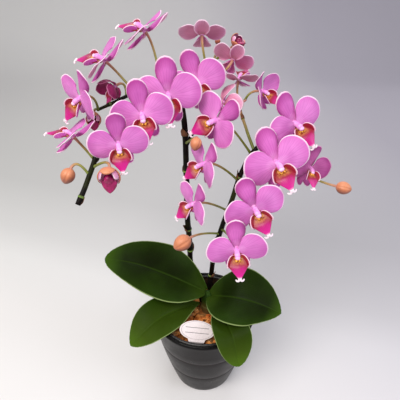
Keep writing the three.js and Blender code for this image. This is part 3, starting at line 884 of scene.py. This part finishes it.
# how each flower faces (turn to the right of the front, rise and roll, in degrees), its size, its
# stem, and how far its petals have closed forwards
FLOWERS = {
    "flower_left_1": ((4, 2, -3), 1.05, "arch", 0),
    "flower_left_2": ((6, 0, -11), 0.95, "arch", 0),
    "flower_left_3": ((12, -6, -4), 0.88, "arch", 0),
    "flower_left_4": ((2, 2, -20), 1.0, "back", 0),
    "flower_left_5": ((-95, 50, 20), 0.95, "arch", 4),
    "flower_left_6": ((-80, 42, 25), 0.92, "arch", 6),
    "flower_left_7": ((-45, -8, 22), 0.86, "side", 6),
    "flower_left_8": ((-90, 52, 0), 0.78, "arch", 6),
    "flower_left_9": ((-50, -25, 0), 0.6, "side", 48),
    "flower_top_1": ((180, 50, 0), 0.78, "back", 4),
    "flower_top_2": ((160, 35, -30), 0.72, "back", 6),
    "flower_top_3": ((150, 62, 0), 0.68, "twig", 10),
    "flower_top_4": ((115, -10, 0), 0.7, "back", 34),
    "flower_top_5": ((50, 5, -25), 0.75, "twig", 26),
    "flower_right_1": ((22, 6, -27), 1.02, "right", 0),
    "flower_right_2": ((10, 8, -22), 1.08, "right", 0),
    "flower_right_3": ((10, 2, -25), 1.0, "right", 0),
    "flower_right_4": ((0, 0, -7), 0.98, "right", 4),
    "flower_right_5": ((20, 5, 17), 0.75, "right", 12),
    "flower_right_6": ((-45, 5, 48), 0.95, "right", 4),
    "flower_right_7": ((-62, 0, 30), 0.85, "right", 4),
    "flower_right_8": ((-62, 0, 25), 0.8, "right", 4),
}
# how far some flowers stand in front of their CAD solid, or behind it, in mm, to clear neighbours
FORWARD = {
    "flower_left_2": 4, "flower_left_3": 3, "flower_left_4": -2, "flower_right_4": 3,
    "flower_right_5": -6, "flower_right_6": 5, "flower_top_2": 3, "flower_top_3": 3,
}
SEPAL_REACH = 1.08
NEARLY_CLOSED = 40
HUB_DEPTH = 3.6 * MM
SIDE_SEPAL_DROP = 5.344 * MM


def flower_turn(turn, rise, roll):
    """A flower's axes: x to the viewer's right, y to its top sepal's tip, z the way it faces."""
    a, e, r = (radians(angle) for angle in (turn, rise, roll))
    face = Vector((sin(a) * cos(e), -cos(a) * cos(e), sin(e)))
    top = Vector((-sin(a) * sin(e), cos(a) * sin(e), cos(e)))
    top.rotate(Matrix.Rotation(-r, 3, face))
    return Matrix((top.cross(face), top, face)).transposed()


def extent(node_name, way):
    """How far a CAD node reaches along a direction, lowest and highest."""
    reaches = [v.co.dot(way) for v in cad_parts[node_name].data.vertices]
    return min(reaches), max(reaches)


def middle_of(node_name, axes):
    """The middle of a CAD node, seen along the z axis given."""
    return sum((axes.col[i] * sum(extent(node_name, axes.col[i])) / 2 for i in range(2)), Vector())


def placed(at, axes, size):
    return Matrix.Translation(at) @ axes.to_4x4() @ Matrix.Scale(size, 4)


def petal_finish(name, core, middle, outer, vein, rim, vein_share, rim_share):
    finish, where = new_finish(name)
    across, along, _ = blade_place(finish)
    cloud = noise(where, 60, 3, 0.55)
    colour = ramp(
        along + cloud * 0.2 - 0.1, [(0.04, core), (0.3, middle), (0.62, middle), (0.95, outer)]
    )
    shade = ramp(noise(where, 34, 2), [(0.4, 0.0), (0.68, 0.45)])
    bent = (noise(where, 120, 2) - 0.5) * 0.05
    spread = across + bent
    lines = []
    for number, fades in ((13, (0.0, 1.0)), (27, (0.35, 0.7))):
        ridge = abs(calculated("FRACT", spread * float(number)) - 0.5)
        line = ramp(ridge, [(0.0, 1.0), (0.09, 0.45), (0.24, 0.0)])
        shown = remap(along, fades[0] - 0.01, fades[1]) if fades[0] else 1.0
        lines.append(line * shown)
    net = calculated("MAXIMUM", *lines)
    veined = net * remap(along, 0.98, 0.55, 0.25, 1.0) * vein_share
    edge = ramp(along + bent * 0.3, [(0.94, 0.0), (0.975, rim_share)])
    feed(layered(colour, (shade, vein), (veined, vein), (edge, rim)), "Base Color")
    set_up(finish, roughness=0.55, specular_ior_level=0.3, sheen_weight=0.12, sheen_roughness=0.4)
    relief(net * -0.5 + noise(where, 1400, 2) * 0.3, 0.35, 0.00035)
    return finish


petal_front = petal_finish(
    "lilac_pink_petal", "#F6A8EA", "#E284D2", "#D670C2", "#A43894", "#FCE0F2", 0.28, 0.95
)
sepal_front = petal_finish(
    "deep_pink_sepal", "#F6A8EA", "#D66EC2", "#AE3C92", "#942C84", "#FAD6EC", 0.3, 0.95
)
# The next two are darker copies of the petal finish for flowers that stand in shade: their deeper
# colour is painted shade.
deep_shade_front = petal_finish(
    "dark_magenta_petal_painted_shade", "#C23C86", "#A01C64", "#8C1456", "#5E0A3C", "#DC88B4", 0.3, 0.6
)
rosy_shade_front = petal_finish(
    "rosy_petal_painted_shade", "#D884BC", "#BC5CA0", "#98347C", "#84286A", "#E8B0D0", 0.34, 0.7
)
shade_fronts = {"flower_left_9": deep_shade_front, "flower_right_5": rosy_shade_front}
petal_back = petal_finish(
    "rosy_brown_petal_back", "#C87C88", "#E090B4", "#ECACD0", "#AC6480", "#FADCEA", 0.4, 0.9
)


def fan(name, spread, fullness, claw, across, along, shape, front):
    """One petal or sepal as a fan from its narrow foot. shape gives its height at each place."""
    piece = strip(name, across, along)
    for vertex, x, share in strip_points(piece):
        x = x * (1.3 - 0.3 * x * x)
        outward = share**0.85
        edge = cos(radians(87) * x) ** fullness
        angle = radians(spread) * x * (claw + (1 - claw) * min(1, outward * 1.6) ** 1.2)
        spot = Vector((edge * outward * sin(angle) + 0.03 * x, edge * outward * cos(angle), 0))
        spot.z = shape(x, outward, edge)
        vertex.co = spot
    dress(piece, front, petal_back)
    thicken(piece, 0.022)
    return piece


def turned_blade(model, angle, lift=0.0):
    return copy_of(model, Matrix.Translation((0, 0, lift)) @ spin(-angle, "Z"))


def blotched(name, stops, swing):
    """A lip's finish before its colour is fed in, with blotches that shift the colours along it."""
    finish, where = new_finish(name)
    across, along, _ = blade_place(finish)
    blotch = noise(where, 420, 4, 0.6)
    set_up(finish, roughness=0.42, sheen_weight=0.1)
    relief(blotch, 0.3, 0.0003)
    return finish, across, along, blotch, ramp(along + (blotch - 0.5) * swing, stops)


stops = [(0.14, "#E8B468"), (0.34, "#C07A3A"), (0.44, "#A01040")]
stops += [(0.55, "#BE0478"), (0.84, "#D80E92"), (0.95, "#F8C8E4")]
lip_front, across, along, blotch, colour = blotched("magenta_lip", stops, 0.12)
flank = ramp(abs(across - 0.5) + blotch * 0.08, [(0.3, 0.0), (0.42, 0.9)])
flank = flank * ramp(along, [(0.5, 1.0), (0.62, 0.0)])
spots = ramp(blotch, [(0.5, 0.0), (0.58, 1.0)]) * ramp(along, [(0.3, 1.0), (0.44, 0.0)])
bars = calculated("FRACT", (across + blotch * 0.05) * 11.0)
bars = ramp(abs(bars - 0.5), [(0.0, 0.4), (0.2, 0.0)])
feed(layered(colour, (flank, "#98042C"), (spots, "#8A2A14"), (bars, "#8E0048")), "Base Color")
stops = [(0.05, "#D89850"), (0.25, "#A85028"), (0.38, "#98042C")]
stops += [(0.87, "#A80634"), (0.93, "#F4CCE0")]
lobe_front, *_, colour = blotched("crimson_side_lobe", stops, 0.1)
feed(colour, "Base Color")

pinks = [(0.35, "#EC8CDE"), (0.65, "#F6B8EC")]
column_skin = mottled("pale_pink_column", pinks, 260, 0.4, 0.2, 0.0002)
pinks = [(0.35, "#F4B4EC"), (0.65, "#FAD4F4")]
cap_skin = mottled("light_pink_column_cap", pinks, 260, 0.4, 0.2, 0.0002)
whites = [(0.3, "#F6DCEA"), (0.7, "#FFF6FA")]
curl_skin = mottled("white_lip_curl", whites, 300, 0.4, 0.2, 0.0002)
yellows = [(0.42, "#F0B848"), (0.52, "#E08A30"), (0.62, "#7A2C10")]
callus_skin = mottled("spotted_yellow_callus", yellows, 520, 0.35, 0.3)


def model_lip():
    """The middle lobe, its two curls, the side lobes and the callus, in flower radii."""
    # share along the lobe, then its y, z and half width
    stations = [
        (0.0, -0.07, 0.03, 0.1), (0.12, -0.13, 0.13, 0.16), (0.26, -0.2, 0.24, 0.22),
        (0.38, -0.28, 0.34, 0.29), (0.48, -0.35, 0.41, 0.325), (0.62, -0.46, 0.48, 0.235),
        (0.77, -0.57, 0.54, 0.14), (0.9, -0.66, 0.59, 0.065), (1.0, -0.72, 0.61, 0.045),
    ]
    middle = strip("lip_middle", 12, 26)
    for vertex, x, share in strip_points(middle):
        low = max(i for i in range(len(stations) - 1) if stations[i][0] <= share)
        (s0, *a), (s1, *b) = stations[low], stations[low + 1]
        ease = (share - s0) / (s1 - s0)
        y, z, half = (p + (q - p) * ease for p, q in zip(a, b))
        keel = 0.32 * half * (1 - abs(x) ** 1.5) * min(1, share * 2)
        keel -= 0.3 * half * (1 - share) * (1 - x * x)
        vertex.co = (x * half, y + 0.35 * keel, z + keel)
    middle.data.flip_normals()
    dress(middle, lip_front, petal_back)
    for polygon in middle.data.polygons:
        polygon.use_smooth = True
    smooth = middle.modifiers.new("smooth", "SMOOTH")
    smooth.factor, smooth.iterations = 0.5, 3
    select_only(middle)
    bpy.ops.object.modifier_apply(modifier="smooth")
    thicken(middle, 0.03)
    parts = [middle]
    for side in (-1, 1):
        curl = [
            (0.012, -0.66, 0.6), (0.03, -0.73, 0.605), (0.07, -0.765, 0.595), (0.115, -0.755, 0.58),
            (0.13, -0.72, 0.565),
        ]
        line, _ = smooth_line([(side * x, y, z) for x, y, z in curl], 12)
        curl_piece = tube(
            "lip_curl", [p / MM for p in line], [0.05 * (1 - 0.6 * i / 11) for i in range(12)], 3
        )
        dress(curl_piece, curl_skin)
        parts.append(curl_piece)
        lobe = strip("side_lobe", 12, 10)
        for vertex, x, share in strip_points(lobe):
            x = x * (1.3 - 0.3 * x * x)
            edge = 0.5 * cos(radians(86) * x) ** 0.5
            outward, sideways = edge * share * cos(x * 0.95), edge * share * sin(x * 0.95)
            cup = 0.5 * outward * outward + 0.35 * sideways * sideways
            down = -0.15 + sideways * 0.9 - 0.3 * outward
            vertex.co = (0.06 + 0.84 * outward - cup, down, 0.14 + 0.6 * outward)
            vertex.co.x *= side
        dress(lobe, lobe_front, petal_front)
        face_out(lobe, lambda face: -side * face.normal.x)
        thicken(lobe, 0.025)
        parts.append(lobe)
    for side in (-1, 1):
        parts.append(ball(0.075, (0.7, 0.85, 1.1), (side * 0.045, -0.2, 0.27), 8, callus_skin))
    return parts


def model_bloom(name, seed):
    """A whole flower facing +z with its top sepal along +y, in flower radii."""
    pick = random.Random(seed)

    def sepal_shape(x, share, edge):
        crease = 0.02 * exp(-((x / 0.12) ** 2)) * share
        arch = 0.16 * (x * edge * share) ** 2 * 2
        return -0.05 + 0.05 * share - 0.13 * share * share - arch - crease

    first = pick.uniform(0, 6)

    def petal_shape(x, share, edge):
        wave = 0.022 * share * share * sin(5.2 * x + first)
        wave += 0.012 * share**3 * sin(11 * x + 2 * first)
        crease = 0.02 * exp(-((x / 0.08) ** 2)) * share
        cup = 0.05 + 0.1 * share - 0.17 * share * share + 0.05 * share * (1 - x * x)
        return cup + wave - crease

    sepal = fan("sepal", 34, 0.5, 1.6, 14, 12, sepal_shape, sepal_front)
    petal = fan("petal", 54, 0.28, 0.82, 26, 18, petal_shape, petal_front)
    parts = [turned_blade(sepal, pick.uniform(-3, 3))]
    parts[0].data.transform(Matrix.Scale(SEPAL_REACH, 4))
    for side in (-1, 1):
        side_sepal = turned_blade(sepal, 0, -0.02)
        side_sepal.data.transform(Matrix.Diagonal((0.72, 0.9, 1, 1)))
        side_sepal.data.transform(spin(-side * pick.uniform(160, 165), "Z"))
        side_petal = copy_of(petal, Matrix.Scale(side, 4, (1, 0, 0)))
        if side < 0:
            side_petal.data.flip_normals()
        side_petal.data.transform(spin(-side * pick.uniform(80, 85), "Z"))
        parts += [side_sepal, side_petal]
    parts += model_lip()
    line, _ = smooth_line([(0, 0.01, -0.08), (0, 0.01, 0.06), (0, -0.03, 0.19), (0, -0.1, 0.3)], 12)
    radii = [0.1, 0.1, 0.098, 0.09, 0.082, 0.078, 0.08, 0.086, 0.092, 0.094, 0.085, 0.05]
    column = tube("column", [p / MM for p in line], radii, 6)
    dress(column, column_skin)
    parts += [column, ball(0.085, (1, 0.75, 0.8), (0, -0.105, 0.3), 10, cap_skin)]
    bloom = joined(name, parts)
    for model in (sepal, petal):
        bpy.data.objects.remove(model)
    return bloom


def closed_forward(piece, degrees, seed):
    """Folds a flower's petals forwards like a shutting umbrella, and bends them all a little."""
    pick = random.Random(seed)
    lean_x, lean_y, saddle = (pick.uniform(-0.06, 0.06) for _ in range(3))
    fold = radians(degrees)
    for vertex in piece.data.vertices:
        x, y, z = vertex.co
        out = hypot(x, y)
        if z < 0.2:
            vertex.co.z += lean_x * x * out + lean_y * y * out + saddle * (x * x - y * y)
        if degrees and out > 0.05:
            share = min(1, out) * fold
            shrink = cos(share)
            vertex.co = (x * shrink, y * shrink, vertex.co.z + out * sin(share))


bloom_models = [model_bloom("bloom_model_" + str(seed), seed) for seed in (3, 5, 8)]
stalks = {"left": [], "right": []}


def add_stalk(stem_name, end, way, bend_length=STALK_BEND):
    """A stalk from its stem into the back of its flower or bud, along the way that faces."""
    bend = end - way * bend_length
    low = bend - Vector((0, 0, NODE_DROP))
    start = min(stem_lines[stem_name], key=lambda p: (p - low).length)
    steps = range(STALK_STEPS + 1)
    shares = [i / STALK_STEPS for i in steps]
    line = [start * (1 - t) ** 2 + bend * 2 * t * (1 - t) + end * t * t for t in shares]
    radii = [1.15 + 0.5 * exp(-i / 1.2) + 0.55 * exp(-(STALK_STEPS - i) / 2.5) for i in steps]
    piece = tube("stalk", line, [radius * MM for radius in radii], 4)
    dress(piece, stalk_skin)
    stalks[STEMS[stem_name][0]].append(piece)


for number, (node_name, (facing, size, stem_name, closing)) in enumerate(FLOWERS.items()):
    axes = flower_turn(*facing)
    right, top, face = (axes.col[i] for i in range(3))
    ends = extent(node_name, right)
    hub = right * (ends[0] + ends[1]) / 2
    hub += top * (extent(node_name, top)[1] - SEPAL_REACH * FLOWER_RADIUS * size)
    forward = FORWARD.get(node_name, 0) * MM
    hub += face * (extent(node_name, face)[0] + SIDE_SEPAL_DROP * size + forward)
    bloom = copy_of(bloom_models[number % 3], Matrix.Identity(4))
    bloom.name = node_name.replace("flower", "bloom")
    if node_name in shade_fronts:
        for number_of_slot, finish in enumerate(bloom.data.materials):
            shut_back = finish == petal_back and closing > NEARLY_CLOSED
            if shut_back or finish in (petal_front, sepal_front):
                bloom.data.materials[number_of_slot] = shade_fronts[node_name]
    closed_forward(bloom, closing, number)
    bloom.data.transform(placed(hub, axes, FLOWER_RADIUS * size))
    add_stalk(stem_name, hub - face * HUB_DEPTH * size * 0.6, face)
    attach(bloom, "root")
    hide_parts(node_name)
for model in bloom_models:
    bpy.data.objects.remove(model)

# ---- Half-open flowers ----
# Three flowers are just opening. Their thick sepals still hold them like a cup, peach orange
# outside and painted browner where they face down as painted shade, round folded petals and a dark
# magenta lip that pushes out in front.

# how each faces, its size in mm, its stem, and how far its sepals reach round it, in degrees
HALF_OPEN = {
    "half_open_1": ((0, -35, 0), 20, "arch", 112),
    "half_open_2": ((10, -20, 0), 15, "side", 135),
    "half_open_3": ((40, 40, 0), 15, "back", 122),
}

bud_skin, where = new_finish("peach_bud_skin")
# The skin is painted lighter where it faces up and browner where it faces down: painted light and
# shade from above.
lit_from_above = split(source(bud_skin, "NewGeometry", "Normal"))[2]
cloud = noise(where, 150, 4, 0.6)
tone = remap(lit_from_above + (cloud - 0.5) * 0.9, -1.0, 1.0)
bud_colour_with_painted_light = ramp(tone, [(0.1, "#6A3828"), (0.35, "#96543E"), (0.6, "#C2744E"), (0.85, "#DC9068")])
speck = ramp(noise(where, 900, 2), [(0.6, 0.0), (0.72, 0.35)])
feed(mixed(speck, bud_colour_with_painted_light, "#8A4A34"), "Base Color")
set_up(bud_skin, roughness=0.48, sheen_weight=0.1)
relief(cloud, 0.3, 0.0004)

magentas = [(0.35, "#7A0840"), (0.65, "#A81060")]
dark_lip = mottled("dark_magenta_young_lip", magentas, 300, 0.42, 0.25)


def cup_blade(name, middle, half_turn, reach, radius, outside, inside):
    """A sepal or petal that lies on a ball, from the flower's back up to the given reach."""
    piece = strip(name, 12, 12)
    for vertex, x, share in strip_points(piece):
        polar = radians(reach) * share * (1 - 0.22 * x * x)
        around = radians(middle) + radians(half_turn) * x * (1 - 0.45 * share**2)
        lifted = radius * (1 + 0.08 * share * share - 0.05 * x * x)
        out = lifted * sin(polar)
        vertex.co = (out * sin(around), 1.08 * out * cos(around), -0.85 * lifted * cos(polar))
    face_out(piece, lambda face: face.normal.dot(face.center))
    dress(piece, outside, inside)
    thicken(piece, 0.045)
    return piece


for node_name, (facing, size, stem_name, opening) in HALF_OPEN.items():
    axes = flower_turn(*facing)
    low_face = extent(node_name, axes.col[2])[0]
    centre = middle_of(node_name, axes)
    centre = centre + axes.col[1] * 0.05 * size * MM + axes.col[2] * (low_face + 0.4 * size * MM)
    parts = [
        cup_blade("cup_sepal", middle, 66, opening, 0.5, bud_skin, petal_back)
        for middle in (0, 120, 240)
    ]
    # The petals' insides wear the dark magenta finish: painted shade inside the cup.
    parts += [
        cup_blade("cup_petal", middle, 52, opening + 12, 0.43, petal_back, deep_shade_front)
        for middle in (62, 298)
    ]
    lip = strip("young_lip", 10, 10)
    for vertex, x, share in strip_points(lip):
        half = 0.33 * sin(pi * (0.18 + 0.82 * share)) ** 0.7
        vertex.co = (x * half, -0.08 - 0.46 * share, 0.1 + 0.42 * share - 0.3 * half * x * x)
    dress(lip, dark_lip, dark_lip)
    thicken(lip, 0.05)
    heart = ball(0.24, (1, 1, 0.9), (0, -0.06, 0.08), 10, dark_lip)
    opening_flower = joined(node_name.replace("half_open", "opening_flower"), [*parts, lip, heart])
    opening_flower.data.transform(placed(centre, axes, size * MM))
    add_stalk(stem_name, centre - axes.col[2] * 0.36 * size * MM, axes.col[2])
    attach(opening_flower, "root")
    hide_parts(node_name)

# ---- Buds ----
# A closed bud is three thick sepals pressed edge to edge, so three shallow seams run from its
# stalk to its blunt tip. Buds hang at the ends of the spikes and twigs.

# how each bud faces, its length in mm, its stem, and how far back its stalk bends, in mm
BUDS = {
    "bud_left": ((-60, -60, 0), 15, "arch", 14),
    "bud_right": ((80, -10, 0), 16, "right", 14),
    "bud_low": ((-60, -20, 0), 20, "right", 14),
    "bud_middle": ((-20, -50, 0), 13, "arch", 4),
    "bud_top": ((0, 80, 0), 7, "back", 14),
}
bpy.ops.mesh.primitive_uv_sphere_add(segments=48, ring_count=28, radius=0.5)
bud_model = bpy.context.object
for vertex in bud_model.data.vertices:
    x, y, z = vertex.co * 2
    around = atan2(x, y)
    seam = min(abs((around - middle + pi) % (2 * pi) - pi) for middle in (pi / 3, pi, -pi / 3))
    out = hypot(x, y)
    width = 0.86 * (1 - 0.1 * z - 0.05 * z * z) * (1 - 0.085 * exp(-((seam / 0.16) ** 2)))
    tip = 0.08 * max(0.0, z) ** 6
    vertex.co = (x * width / 2, y * width / 2, (z + tip - 0.05 * (1 - out)) / 2)
bpy.ops.object.shade_smooth()
dress(bud_model, bud_skin)
for node_name, (facing, size, stem_name, bend_length) in BUDS.items():
    axes = flower_turn(*facing)
    centre = middle_of(node_name, axes)
    centre = centre + axes.col[2] * (extent(node_name, axes.col[2])[0] + 0.475 * size * MM)
    bud = copy_of(bud_model, placed(centre, axes, size * MM))
    bud.name = "closed_" + node_name
    add_stalk(stem_name, centre - axes.col[2] * 0.42 * size * MM, axes.col[2], bend_length * MM)
    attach(bud, "root")
    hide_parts(node_name)
bpy.data.objects.remove(bud_model)
for spike, pieces in stalks.items():
    whole = joined("flower_stalks_" + spike, pieces)
    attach(whole, "root")
